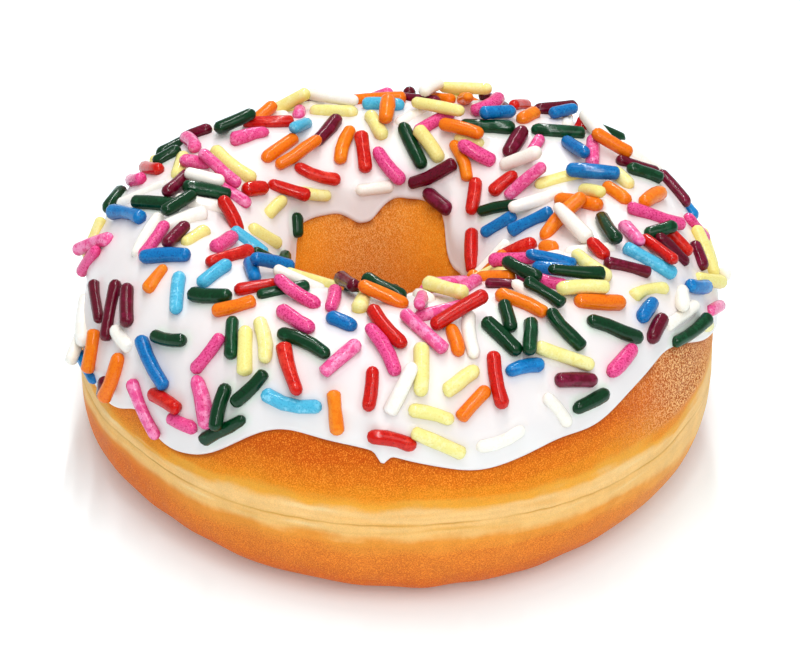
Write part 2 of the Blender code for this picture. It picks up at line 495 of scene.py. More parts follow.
def dough_material(settings):
    """Baked crust: brown shoulders, a pale band each side of the seam, grain, and a dark line under the icing that is
    partly darker crust and partly painted contact shade.
    """
    recipe = Recipe("baked_dough_crust")
    tone = recipe.attribute("tone")
    rise = recipe.attribute("seam_rise")
    pale = recipe.attribute("paleness")
    along = recipe.attribute("unrolled", "Vector")
    patchy = recipe.noise(1.6 * MM, detail=3.0, roughness=0.6)
    grain = recipe.noise(0.085 * MM, detail=2.0, roughness=0.6, place=along)
    coarse = recipe.noise(0.16 * MM, detail=3.0, roughness=0.7, distortion=0.3, place=recipe.stretched(along, 1.5))

    tone = recipe.maths("MULTIPLY_ADD", recipe.maths("SUBTRACT", patchy, 0.5), 1.6, tone)
    colour = recipe.ramp(
        tone,
        -14.0,
        12.0,
        (
            (-12.0, settings.foot_colour),
            (-6.0, settings.under_colour),
            (-3.3, settings.amber_colour),
            (-1.5, settings.low_band_colour),
            (-0.4, settings.low_band_colour),
            (0.6, settings.band_colour),
            (1.8, settings.band_colour),
            (3.3, settings.butter_colour),
            (5.0, settings.gold_colour),
            (7.0, settings.shoulder_colour),
            (10.0, settings.crust_colour),
        ),
    )
    below = recipe.maths("MULTIPLY", recipe.span(pale, 0.0, 1.0, 0.0, 0.55), recipe.span(rise, 1.5, 0.0))
    colour = recipe.mix(below, colour, rgba(settings.low_band_colour))
    deep = recipe.maths("MULTIPLY", recipe.span(pale, 0.0, -1.0), recipe.span(rise, -1.0, -4.0, 0.0, 0.9))
    colour = recipe.mix(deep, colour, rgba(settings.foot_colour))
    streak = recipe.attribute("streak")
    colour = recipe.mix(recipe.span(streak, 0.1, 1.6, 0.0, 0.4), colour, rgba(settings.butter_colour))
    colour = recipe.mix(recipe.span(streak, -0.4, -1.6, 0.0, 0.5), colour, rgba(settings.light_colour))
    # The hole's wall darkens towards the floor as painted shade down the hole.
    hole = recipe.ramp(
        recipe.attribute("hole_height"),
        0.0,
        30.0,
        (
            (4.0, settings.hole_floor_shade_colour),
            (12.0, settings.hole_colour),
            (26.0, settings.hole_top_colour),
        ),
    )
    hole_side = recipe.attribute("hole_side")
    colour = recipe.mix(hole_side, colour, hole)

    toasted = recipe.maths("MAXIMUM", recipe.span(tone, 3.0, 6.0), recipe.span(tone, -2.6, -5.5, 0.0, 0.85))
    toasted = recipe.maths("MAXIMUM", toasted, hole_side)
    bright = recipe.maths("MULTIPLY", toasted, recipe.span(grain, 0.53, 0.62, 0.0, 0.6))
    colour = recipe.mix(bright, colour, rgba(settings.speck_colour))
    dark = recipe.maths("MULTIPLY", toasted, recipe.span(grain, 0.48, 0.38, 0.0, 0.35))
    colour = recipe.mix(dark, colour, rgba(settings.pit_colour))
    sparkle = recipe.maths("MULTIPLY", hole_side, recipe.span(coarse, 0.53, 0.60, 0.0, 0.9))
    colour = recipe.mix(sparkle, colour, rgba(settings.sparkle_colour))
    blotch = recipe.span(patchy, 0.3, 0.7, 0.95, 1.04)
    colour = recipe.mix(1.0, colour, blotch, "MULTIPLY")
    colour = recipe.mix(1.0, colour, recipe.span(grain, 0.35, 0.65, 0.94, 1.05), "MULTIPLY")

    shoulder = recipe.maths("MULTIPLY", recipe.attribute("graininess"), recipe.span(rise, 4.0, 5.5))
    colour = recipe.mix(recipe.maths("MULTIPLY", shoulder, 0.45), colour, rgba(settings.copper_colour))
    crumbs = recipe.maths("MULTIPLY", shoulder, recipe.span(coarse, 0.50, 0.555, 0.0, 1.0))
    colour = recipe.mix(crumbs, colour, rgba(settings.crumb_colour))
    pits = recipe.maths("MULTIPLY", shoulder, recipe.span(coarse, 0.49, 0.43, 0.0, 1.0))
    colour = recipe.mix(pits, colour, rgba(settings.pit_colour))

    # The crease and the wrinkles beside it: partly the seam's own olive colour, partly painted shade in their grooves.
    colour = recipe.mix(recipe.attribute("crease"), colour, rgba(settings.crease_line_and_shade_colour))
    # The dark line under the icing's edge: partly darker crust, partly painted contact shade.
    colour = recipe.mix(recipe.attribute("under_icing"), colour, rgba(settings.icing_line_and_shade_colour))
    recipe.feed(recipe.surface.inputs["Base Color"], colour)

    recipe.feed(recipe.surface.inputs["Roughness"], recipe.span(patchy, 0.2, 0.8, 0.42, 0.58))
    recipe.surface.inputs["Specular IOR Level"].default_value = 0.05
    recipe.surface.inputs["Subsurface Weight"].default_value = 0.10
    recipe.surface.inputs["Subsurface Radius"].default_value = (1.0, 0.45, 0.15)
    recipe.surface.inputs["Subsurface Scale"].default_value = 0.0012
    recipe.relief(
        (patchy, 0.10 * MM),
        (recipe.maths("MULTIPLY", toasted, grain), 0.07 * MM),
        (recipe.maths("MULTIPLY", shoulder, coarse), 0.16 * MM),
    )
    return recipe.material


def icing_material(settings):
    """Set sugar icing: near white with faint cloudy tints, softly glossy, and tinted beside the sprinkles, partly by
    their bled dye and partly by painted bounce light of their colour.
    """
    recipe = Recipe("set_white_icing")
    cloudy = recipe.noise(5.0 * MM, detail=2.0)
    fine = recipe.noise(0.6 * MM, detail=2.0)
    colour = recipe.mix(recipe.span(cloudy, 0.35, 0.65), rgba(settings.colour), rgba(settings.shade_colour))
    # Tint beside each sprinkle: partly its dye bled into the icing, partly painted bounce light of its colour.
    colour = recipe.mix(1.0, colour, recipe.attribute("stain", "Color"), "MULTIPLY")
    recipe.feed(recipe.surface.inputs["Base Color"], colour)
    recipe.feed(recipe.surface.inputs["Roughness"], recipe.span(fine, 0.3, 0.7, 0.36, 0.48))
    recipe.surface.inputs["Specular IOR Level"].default_value = 0.4
    recipe.surface.inputs["Subsurface Weight"].default_value = 0.25
    recipe.surface.inputs["Subsurface Radius"].default_value = (1.0, 0.85, 0.75)
    recipe.surface.inputs["Subsurface Scale"].default_value = 0.0015
    recipe.surface.inputs["Coat Weight"].default_value = 0.1
    recipe.surface.inputs["Coat Roughness"].default_value = 0.12
    recipe.relief((cloudy, 0.35 * MM), (fine, 0.015 * MM))
    return recipe.material


def sugar_material(name, colour):
    """Pressed sugar: one colour, finely mottled with a paler and a deeper one, under a thin crisp gloss, and darker on
    its lower side as painted shade.
    """
    deep_colour, pale_colour, specks, blotches = SUGAR_LOOKS[name]
    recipe = Recipe(f"{name}_sugar_rod")
    shade = recipe.maths("SUBTRACT", recipe.attribute("shade"), 0.5)
    foot = recipe.attribute("foot")
    blotch = recipe.noise(0.55 * MM, detail=3.0, roughness=0.65)
    speck = recipe.noise(0.14 * MM, detail=2.0, roughness=0.6)
    lighter = recipe.span(recipe.maths("MULTIPLY_ADD", shade, 0.24, blotch), 0.50, 0.70, 0.0, blotches)
    made = recipe.mix(lighter, rgba(colour), rgba(pale_colour))
    darker = recipe.span(recipe.maths("MULTIPLY_ADD", shade, -0.10, speck), 0.53, 0.66, 0.0, specks)
    made = recipe.mix(darker, made, rgba(deep_colour))
    # Painted shade: each sprinkle darker on its lower side, where it faces the icing.
    made = recipe.mix(recipe.span(foot, -0.35, 0.8, 0.0, 0.85), made, rgba(deep_colour))
    recipe.feed(recipe.surface.inputs["Base Color"], made)
    recipe.feed(recipe.surface.inputs["Roughness"], recipe.span(blotch, 0.3, 0.7, 0.35, 0.5))
    recipe.surface.inputs["Specular IOR Level"].default_value = 0.02
    recipe.surface.inputs["Coat Weight"].default_value = 0.6
    recipe.surface.inputs["Coat Roughness"].default_value = 0.13
    gloss = recipe.relief((blotch, 0.04 * MM), (speck, 0.007 * MM))
    recipe.feed(recipe.surface.inputs["Coat Normal"], gloss)
    return recipe.material


# Sprinkles


def supported(lengths, heights):
    """For each row of heights, the lowest straight line over all of them: its height and slope at its middle."""
    left = lengths < -1e-9
    right = lengths > 1e-9
    x_left = lengths[left][None, :, None]
    x_right = lengths[right][None, None, :]
    high_left = heights[:, left, None]
    high_right = heights[:, None, right]
    crossing = (high_left * x_right - high_right * x_left) / (x_right - x_left)
    height = np.maximum(crossing.max(axis=(1, 2)), heights[:, ~left & ~right].max(axis=1))
    least = ((heights[:, right] - height[:, None]) / lengths[right]).max(axis=1)
    most = ((heights[:, left] - height[:, None]) / lengths[left]).min(axis=1)
    return height, np.clip(0.0, np.minimum(least, most), np.maximum(least, most))


def bent(offsets, bend, sway):
    """How far a sprinkle's middle line strays sideways: bend u^2 + sway u^3, less its mean, with u from -1 to 1."""
    return bend * (offsets**2 - 1.0 / 3.0) + sway * (offsets**3 - 0.6 * offsets)


@lru_cache(maxsize=2)
def scatter_sprinkles(ring, scatter):
    """Drops the sprinkles one by one. Each lands where it rests lowest out of a few tries, on the icing or across
    the ones below it, and keeps its place, its direction, its size and its sugar."""
    draw = np.random.default_rng(scatter.seed)
    shares = np.array([share for _, share, _ in SUGARS])
    sites = draw_sites(ring, draw, scatter.count * (FREE_TRIES + 8))
    offsets = np.linspace(-1.0, 1.0, SPRINKLE_SAMPLES)
    rods = []
    centres = np.zeros((0, 3))
    reaches = np.zeros(0)
    used = 0
    while len(rods) < scatter.count and used + FREE_TRIES <= len(sites):
        length = float(np.clip(draw.normal(scatter.length, 1.45 * MM), 3.4 * MM, 9.6 * MM))
        radius = 0.5 * scatter.thickness * float(np.clip(draw.normal(1.0, 0.06), 0.85, 1.18))
        sugar = int(draw.choice(len(SUGARS), p=shares / shares.sum()))
        sink = SUGARS[sugar][2] * draw.uniform(0.6, 1.35)
        bend = draw.normal(0.0, 0.28) * MM * (length / scatter.length) ** 2
        sway = draw.normal(0.0, 0.35) * MM if draw.random() < 0.25 else 0.0
        upright = draw.random() < UPRIGHT_SHARE
        tries = CROSSING_TRIES if draw.random() < CROSSING_SHARE else FREE_TRIES
        point, normal, along, across = site_frame(ring, *sites[used : used + tries].T)
        used += tries
        heading = draw.uniform(0.0, 2.0 * np.pi, (tries, 1))
        rise = np.radians(draw.uniform(50.0, 80.0)) if upright else 0.0
        flat = np.cos(heading) * along + np.sin(heading) * across
        direction = np.cos(rise) * flat + np.sin(rise) * normal
        side = np.cross(normal, flat)
        lengths = offsets * (0.5 * length - radius)
        stray = bent(offsets, bend, sway)[None, :, None] * side[:, None]
        line = point[:, None] + lengths[None, :, None] * direction[:, None] + stray
        heights = np.maximum(
            radius - sink - clearance(ring, line),
            np.array([rest_on(line[index], normal[index], radius, centres, reaches) for index in range(tries)]),
        )
        height, slope = supported(lengths, heights)
        if upright:
            height = heights.max(axis=1) - 0.8 * MM
            slope = np.zeros(tries)
        beyond = overhang(ring, line[:, ::len(offsets) - 1]).max(axis=1)
        worth = height + 1.5 * MM * np.abs(slope) + 2.0 * np.maximum(beyond + 1.2 * MM, 0.0)
        highest = STEEP_REST + (HIGHEST_REST - STEEP_REST) * smooth((normal[:, 2] - 0.82) / 0.16)
        allowed = (np.abs(slope) < 0.5) & (height < highest) & (beyond < -0.5 * MM)
        worth = np.where(allowed, worth, 1.0)
        best = int(worth.argmin())
        if worth[best] == 1.0:
            continue
        normal = normal[best]
        height = height[best]
        slope = slope[best]
        lean = direction[best] + slope * normal
        spots = line[best] + (height + slope * lengths)[:, None] * normal
        centres = np.concatenate([centres, spots])
        reaches = np.concatenate([reaches, np.full(len(spots), radius)])
        centre = point[best] + height * normal
        rods.append((centre, lean / np.linalg.norm(lean), normal, length, radius, bend, sway, sugar))
    names = ("centre", "direction", "normal", "length", "radius", "bend", "sway", "sugar")
    layout = dict(zip(names, (np.array(column) for column in zip(*rods))))
    layout["spots"] = centres
    layout["reaches"] = reaches
    return layout


def rest_on(line, normal, radius, centres, reaches):
    """How far each point of a sprinkle's middle line has to rise to clear the sprinkles that lie there."""
    close = ((centres - line[len(line) // 2]) ** 2).sum(axis=1) < (11.0 * MM) ** 2
    if not close.any():
        return np.full(len(line), -1.0)
    gap = centres[close][None] - line[:, None]
    over = gap @ normal
    aside = (gap**2).sum(axis=-1) - over**2
    touching = 0.97 * (reaches[close][None] + radius)
    near = (aside < touching**2) & (np.abs(over) < 6.0 * MM)
    need = np.where(near, over + np.sqrt(np.maximum(touching**2 - aside, 0.0)), -1.0)
    return need.max(axis=1)


def draw_sites(ring, draw, count):
    """Random bearings and tilts on the icing, spread as falling sprinkles are: evenly over its area, fewer where
    it is steep and along its outer edge, and more round the hole's front and on the far side."""
    bearing = draw.uniform(0.0, 2.0 * np.pi, count * 6)
    share = draw.uniform(0.03, 0.97, count * 6)
    outer, inner = icing_edges(ring, bearing)
    tilt = outer + share * (inner - outer)
    middle_radius, _, _, _, _ = section(ring, bearing)
    reach, _, level = outline(ring, bearing, tilt)
    area = (middle_radius + reach * np.cos(tilt)) / ring.outer_radius
    edge = 1.0 - 0.4 * np.exp(-((share / 0.12) ** 2)) - 0.5 * np.exp(-(((1.0 - share) / 0.1) ** 2))
    heap = 0.6 + 0.2 * smooth((share - 0.25) / 0.3) + 0.45 * bumps(bearing, HEAP_BUMPS)
    kept = draw.random(len(bearing)) < area * edge * heap * (0.45 + 0.55 * np.maximum(level, 0.0))
    return np.stack([bearing[kept], tilt[kept]], axis=1)[:count]


def site_frame(ring, bearing, tilt):
    """Points on the icing, with their normals and their directions along the ring and across the section."""
    step = 0.002
    here = skin(ring, bearing, tilt, icing_lift(ring, bearing, tilt))
    ahead = skin(ring, bearing + step, tilt, icing_lift(ring, bearing + step, tilt))
    above = skin(ring, bearing, tilt + step, icing_lift(ring, bearing, tilt + step))
    along = (ahead - here) / np.linalg.norm(ahead - here, axis=-1, keepdims=True)
    normal = np.cross(ahead - here, above - here)
    normal /= np.linalg.norm(normal, axis=-1, keepdims=True)
    return here, normal, along, np.cross(normal, along)


def rod_mesh(name, layout, chosen, draw):
    """Sprinkles as one mesh. Each is a tube of rings along its bent middle line, whose radius falls as
    sin(angle) while its length falls as cos(angle) over each end, closed by a point."""
    count = len(chosen)
    centre = layout["centre"][chosen][:, None]
    direction = layout["direction"][chosen][:, None]
    normal = layout["normal"][chosen][:, None]
    half = 0.5 * layout["length"][chosen][:, None]
    radius = layout["radius"][chosen][:, None]

    blunt = np.where(draw.random((count, 2)) < 0.25, draw.uniform(0.55, 0.75, (count, 2)), draw.uniform(0.85, 1.1, (count, 2)))
    cap = radius * blunt
    angles = np.radians((0.0, 36.0, 66.0, 90.0))
    low = -half + cap[:, :1] * (1.0 - np.cos(angles))
    high = half - cap[:, 1:] * (1.0 - np.cos(angles[::-1]))
    middle = 0.36 * (half - radius) * np.array((-1.0, 1.0))
    stations = np.concatenate([low, middle, high], axis=1)
    girth = np.concatenate([np.sin(angles), np.ones(2), np.sin(angles[::-1])])
    place = stations / half

    waist = draw.normal(0.02, 0.035, (count, 1)) * (1.0 - 2.0 * place**2)
    taper = draw.normal(0.0, 0.045, (count, 1)) * place
    knob = draw.normal(0.0, 0.02, (count, len(girth)))
    odd = draw.random((count, 1))
    waist = np.where(odd < 0.04, -0.14 * (1.0 - 2.2 * place**2), waist)
    taper = np.where(odd > 0.95, 0.20 * place, taper)
    width = radius * girth * (1.0 + waist + taper + knob)

    side = np.cross(normal, direction)
    side /= np.linalg.norm(side, axis=-1, keepdims=True)
    stray = bent(place, layout["bend"][chosen][:, None], layout["sway"][chosen][:, None])
    line = centre + stations[..., None] * direction + stray[..., None] * side
    heading = np.gradient(line, axis=1)
    heading /= np.linalg.norm(heading, axis=-1, keepdims=True)
    side = np.cross(np.broadcast_to(normal, heading.shape), heading)
    side /= np.linalg.norm(side, axis=-1, keepdims=True)
    over = np.cross(heading, side)

    turn = np.arange(SPRINKLE_SIDES) * 2.0 * np.pi / SPRINKLE_SIDES + draw.uniform(0.0, 0.8, (count, 1, 1))
    squash = draw.uniform(0.9, 1.0, (count, 1, 1))
    rings = slice(1, -1)
    out_side = np.cos(turn)[..., None] * side[:, rings, None]
    out_over = (np.sin(turn) * squash)[..., None] * over[:, rings, None]
    tube = line[:, rings, None] + width[:, rings, None, None] * (out_side + out_over)

    ring_count = tube.shape[1]
    per_rod = ring_count * SPRINKLE_SIDES + 2
    points = np.concatenate([tube.reshape(count, -1, 3), line[:, :1], line[:, -1:]], axis=1)
    first = (np.arange(count) * per_rod)[:, None, None]
    row = np.arange(ring_count - 1)[None, :, None] * SPRINKLE_SIDES
    column = np.arange(SPRINKLE_SIDES)[None, None, :]
    after = (column + 1) % SPRINKLE_SIDES
    quads = np.stack(
        np.broadcast_arrays(
            first + row + column,
            first + row + after,
            first + row + SPRINKLE_SIDES + after,
            first + row + SPRINKLE_SIDES + column,
        ),
        axis=-1,
    ).reshape(-1, 4)
    last_row = (ring_count - 1) * SPRINKLE_SIDES
    start_fan = np.stack(np.broadcast_arrays(first + per_rod - 2, first + after, first + column), axis=-1)
    end_fan = np.stack(
        np.broadcast_arrays(first + per_rod - 1, first + last_row + column, first + last_row + after), axis=-1
    )
    triangles = np.concatenate([start_fan.reshape(-1, 3), end_fan.reshape(-1, 3)])
    piece = mesh_piece(name, points.reshape(-1, 3), quads, triangles)
    # How far each point faces down, for the painted shade on the sprinkle's lower side.
    facing = -np.sin(turn) * np.ones((1, ring_count, 1)) * np.ones((count, 1, 1))
    ends = np.zeros((count, 2))
    store(piece, "foot", np.concatenate([facing.reshape(count, -1), ends], axis=1))
    store(piece, "shade", np.repeat(draw.random(count), per_rod))
    return piece


# Settings


def length_setting(name, description, default):
    return bpy.props.FloatProperty(
        name=name, description=description, default=default, precision=5, subtype="DISTANCE", unit="LENGTH"
    )


def colour_setting(name, description, default):
    return bpy.props.FloatVectorProperty(
        name=name, description=description, default=default, size=3, min=0.0, max=1.0, subtype="COLOR"
    )


class DoughSettings(bpy.types.PropertyGroup):
    outer_radius: length_setting("Ring radius", "From the ring's middle to its outside", 46.2 * MM)
    hole_radius: length_setting("Hole radius", "From the ring's middle to the hole's wall", 12.1 * MM)
    hole_shift: length_setting("Hole shift", "How far the hole sits towards +X", -3.1 * MM)
    seam_height: length_setting("Seam height", "Height of the widest line", 14.4 * MM)
    out_reach: length_setting("Side reach", "From the section's middle to the outside", 15.9 * MM)
    up_reach: length_setting("Top reach", "From the section's middle to the crown", 23.4 * MM)
    crease_depth: length_setting("Crease depth", "Depth of the seam's crease", 0.12 * MM)
    wrinkle_depth: length_setting("Wrinkle depth", "Depth of the fine wrinkles beside the seam", 0.05 * MM)
    crust_colour: colour_setting("Crust", "Deepest crust, by the icing", (0.63, 0.098, 0.005))
    shoulder_colour: colour_setting("Shoulder", "Brown crust above the band", (0.75, 0.178, 0.008))
    gold_colour: colour_setting("Gold", "Golden crust at the band's edge", (0.81, 0.256, 0.013))
    butter_colour: colour_setting("Butter", "Yellow crust inside the band's edge", (0.84, 0.375, 0.045))
    light_colour: colour_setting("Light streaks", "Lightest streaks of the band", (0.93, 0.700, 0.360))
    band_colour: colour_setting("Band", "Pale band above the seam", (0.90, 0.552, 0.215))
    low_band_colour: colour_setting("Lower band", "Pale band below the seam", (0.88, 0.520, 0.180))
    amber_colour: colour_setting("Amber", "Crust at the band's lower edge", (0.82, 0.310, 0.045))
    under_colour: colour_setting("Underside", "Brown crust below the band", (0.78, 0.212, 0.030))
    foot_colour: colour_setting("Foot", "Crust where it stands", (0.70, 0.133, 0.018))
    # The crease colour is partly the seam's own, partly painted shade in its groove.
    crease_line_and_shade_colour: colour_setting("Crease", "The line of the seam", (0.58, 0.290, 0.045))
    speck_colour: colour_setting("Specks", "Bright specks of the toasted crust", (0.94, 0.370, 0.040))
    sparkle_colour: colour_setting("Sparkle", "Golden specks of the hole's wall", (1.0, 0.500, 0.070))
    pit_colour: colour_setting("Pits", "Dark pits of the toasted crust", (0.44, 0.060, 0.003))
    copper_colour: colour_setting("Copper", "Skin of the cracked shoulder", (0.74, 0.265, 0.070))
    crumb_colour: colour_setting("Crumb", "Light grains of the cracked shoulder", (1.0, 0.640, 0.290))
    # Painted contact shade under the icing's edge, over a darker crust.
    icing_line_and_shade_colour: colour_setting("Icing line", "Dark line under the icing's edge", (0.34, 0.055, 0.006))
    # The hole's colours grow darker towards the floor as painted shade down the hole.
    hole_top_colour: colour_setting("Hole top", "The hole's wall by the icing", (0.95, 0.285, 0.010))
    hole_colour: colour_setting("Hole", "The hole's wall", (0.90, 0.215, 0.002))
    hole_floor_shade_colour: colour_setting("Hole foot", "The hole's wall near the floor", (0.46, 0.075, 0.001))


class IcingSettings(bpy.types.PropertyGroup):
    thickness: length_setting("Thickness", "How far the icing stands off the dough", 1.75 * MM)
    collar: length_setting("Collar", "How far the icing climbs up a sprinkle", 0.2 * MM)
    # The tint beside the sprinkles: partly their bled dye, partly painted bounce light of their colour.
    stain: bpy.props.FloatProperty(
        name="Dye and bounce tint", description="How much colour the sprinkles leave in the icing", default=0.22, min=0.0, max=1.0
    )
    colour: colour_setting("Icing", "Colour of the icing", (0.86, 0.820, 0.810))
    shade_colour: colour_setting("Cloud", "Colour of its faint clouds", (0.83, 0.780, 0.775))


class SprinkleSettings(bpy.types.PropertyGroup):
    count: bpy.props.IntProperty(name="Count", description="Number of sprinkles", default=300, min=1, max=1200)
    seed: bpy.props.IntProperty(name="Seed", description="Another number drops them another way", default=7)
    length: length_setting("Length", "Mean length of a sprinkle", 7.3 * MM)
    thickness: length_setting("Thickness", "Mean thickness of a sprinkle", 2.08 * MM)
    green: colour_setting("Green", "Green sugar", (0.0, 0.036, 0.009))
    blue: colour_setting("Blue", "Blue sugar", (0.002, 0.165, 0.460))
    sky: colour_setting("Sky", "Sky blue sugar", (0.075, 0.460, 0.680))
    pink: colour_setting("Pink", "Pink sugar", (0.800, 0.080, 0.280))
    red: colour_setting("Red", "Red sugar", (0.590, 0.006, 0.002))
    orange: colour_setting("Orange", "Orange sugar", (0.850, 0.185, 0.003))
    yellow: colour_setting("Yellow", "Yellow sugar", (0.860, 0.780, 0.270))
    white: colour_setting("White", "White sugar", (0.930, 0.890, 0.810))
    plum: colour_setting("Plum", "Plum sugar", (0.120, 0.0, 0.013))


class StageSettings(bpy.types.PropertyGroup):
    elevation: bpy.props.FloatProperty(
        name="Camera elevation", description="Angle above the table", default=np.radians(33.0), subtype="ANGLE"
    )
    roll: bpy.props.FloatProperty(
        name="Camera roll", description="Anticlockwise turn of the camera", default=np.radians(1.7), subtype="ANGLE"
    )
    distance: length_setting("Camera distance", "From the camera to the doughnut's middle", 0.7)
    lens: bpy.props.FloatProperty(name="Lens", description="Focal length", default=211.7, subtype="DISTANCE_CAMERA")
    table_colour: colour_setting("Table", "Colour of the table", (0.83, 0.95, 0.985))
    table_glow: bpy.props.FloatProperty(
        name="Table glow", description="How much light the table gives off, as a lit panel does", default=0.15
    )
    sky_strength: bpy.props.FloatProperty(name="Room light", description="Strength of the even light", default=0.43)
    key_power: bpy.props.FloatProperty(name="Key light", description="Power of the main softbox", default=0.4)
    fill_power: bpy.props.FloatProperty(name="Fill light", description="Power of the front softbox", default=0.95)
    strip_power: bpy.props.FloatProperty(name="Spark light", description="Power of each narrow lamp", default=0.84)


def ring_sizes(scene):
    """The ring's sizes, as set."""
    dough = scene.doughnut_dough
    return Ring(
        dough.outer_radius,
        dough.hole_radius,
        dough.hole_shift,
        dough.seam_height,
        dough.out_reach,
        dough.up_reach,
        scene.doughnut_icing.thickness,
    )


def scatter_sizes(scene):
    """The scatter's sizes, as set."""
    sprinkles = scene.doughnut_sprinkles
    return Scatter(sprinkles.count, sprinkles.length, sprinkles.thickness, sprinkles.seed)


# Operators


class DOUGHNUT_OT_dough(bpy.types.Operator):
    """Bakes the dough ring with its seam, pale band, wrinkles and grain"""

    bl_idname = "doughnut.dough"
    bl_label = "Dough"

    def execute(self, context):
        settings = context.scene.doughnut_dough
        ring = ring_sizes(context.scene)
        bearing = np.linspace(0.0, 2.0 * np.pi, DOUGH_COLUMNS, endpoint=False)[None, :]
        steady = np.radians(
            np.concatenate(
                [
                    np.linspace(-7.0, 7.0, 45, endpoint=False),
                    np.linspace(7.0, 42.0, 33, endpoint=False),
                    np.linspace(42.0, 318.0, 78, endpoint=False),
                    np.linspace(318.0, 353.0, 33, endpoint=False),
                ]
            )
        )[:, None]
        signed = (steady + np.pi) % (2.0 * np.pi) - np.pi
        wobble = 0.10 * MM * ripples(bearing, 0.0, 21, 12, (8, 30), 0) + 0.05 * MM * ripples(bearing, 0.0, 28, 14, (40, 90), 0)
        stray = bumps(bearing, CREASE_BUMPS) + wobble
        tilt = steady + stray / ring.out_reach * np.exp(-((signed / np.radians(25.0)) ** 2))
        reach, _, _ = outline(ring, bearing, tilt)
        rise = signed * ring.out_reach
        outer_edge, inner_edge = icing_edges(ring, bearing)

        near_seam = np.exp(-((rise / (3.6 * MM)) ** 2))
        strength = np.clip(0.72 + 0.4 * ripples(bearing, 0.0, 29, 12, (5, 26), 0), 0.25, 1.0)
        crease = strength * np.exp(-((rise / CREASE_WIDTH) ** 2))
        lips = np.exp(-(((np.abs(rise) - 0.5 * MM) / (0.35 * MM)) ** 2))
        second_at = rise - (1.15 + 0.5 * ripples(bearing, 0.0, 22, 8, (2, 9), 0)) * MM
        third_at = rise + (1.0 + 0.45 * ripples(bearing, 0.0, 23, 8, (2, 9), 0)) * MM
        second = np.exp(-((second_at / (0.2 * MM)) ** 2)) * np.clip(ripples(bearing, 0.0, 24, 9, (2, 7), 0), 0.0, 1.0)
        third = np.exp(-((third_at / (0.2 * MM)) ** 2)) * np.clip(ripples(bearing, 0.0, 25, 9, (2, 7), 0), 0.0, 1.0)
        wrinkles = ripples(bearing, signed, 26, 30, (3, 18), 110) * near_seam
        grainy = np.clip(bumps(bearing, GRAIN_BUMPS), 0.0, 1.0)
        ridge = (0.06 + 0.30 * grainy) * MM * np.exp(-(((rise - 5.0 * MM) / (1.0 * MM)) ** 2))
        foot_lumps = 0.25 * MM * ripples(bearing, signed, 27, 20, (12, 34), 4) * np.clip(-np.sin(signed), 0.0, 1.0) ** 2

        lift = lumps(bearing, tilt) + ridge + foot_lumps + 0.04 * MM * lips
        lift = lift - settings.crease_depth * (crease + 0.3 * second + 0.3 * third)
        lift = lift + settings.wrinkle_depth * wrinkles
        piece = loft("dough_ring", skin(ring, bearing, tilt, lift))

        everywhere = np.ones_like(tilt)
        gap = np.maximum(np.minimum(np.abs(outer_edge - signed), np.abs(inner_edge - signed)), 0.0) * reach
        wander = 0.55 * ripples(bearing, signed, 31, 14, (2, 9), 3) + 0.3 * ripples(bearing, signed, 32, 16, (8, 40), 12)
        streaks = 0.35 * ripples(bearing, signed, 33, 26, (2, 12), 90)
        climb = bumps(bearing, UNDER_BUMPS) * smooth(-rise / (2.5 * MM))
        drop = bumps(bearing, OVER_BUMPS) * smooth(rise / (2.5 * MM))
        store(piece, "tone", np.clip(rise / MM, -25.0, 25.0) + wander + streaks - climb + drop)
        in_band = np.exp(-((np.maximum(np.abs(rise - 0.5 * MM) - 1.2 * MM, 0.0) / (1.2 * MM)) ** 2))
        store(piece, "streak", in_band * ripples(bearing, signed, 34, 30, (2, 22), 70) * 1.2)
        store(piece, "seam_rise", np.clip(rise / MM, -25.0, 25.0) * everywhere)
        store(piece, "paleness", bumps(bearing, PALE_BUMPS) * everywhere)
        store(piece, "graininess", bumps(bearing, GRAIN_BUMPS) * everywhere)
        # The crease and its wrinkles, darkened partly as painted shade in their grooves.
        store(piece, "crease", np.clip(0.8 * crease + 0.25 * second + 0.25 * third, 0.0, 1.0) * everywhere)
        # A thin dark line under the icing's edge: partly darker crust, partly painted contact shade.
        store(piece, "under_icing", np.exp(-((gap / (0.4 * MM)) ** 2)) * 0.8)
        store(piece, "hole_side", smooth((0.15 - np.cos(tilt)) / 0.35))
        _, middle_height, _, _, _ = section(ring, bearing)
        store(piece, "hole_height", (middle_height + reach * np.sin(tilt)) / MM)
        around = ring.outer_radius * everywhere
        unrolled = np.stack([around * np.cos(bearing), around * np.sin(bearing), tilt * ring.out_reach], axis=-1)
        store_place(piece, "unrolled", unrolled)
        piece.data.materials.append(dough_material(settings))
        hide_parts("dough")
        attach(piece, "root")
        return {"FINISHED"}


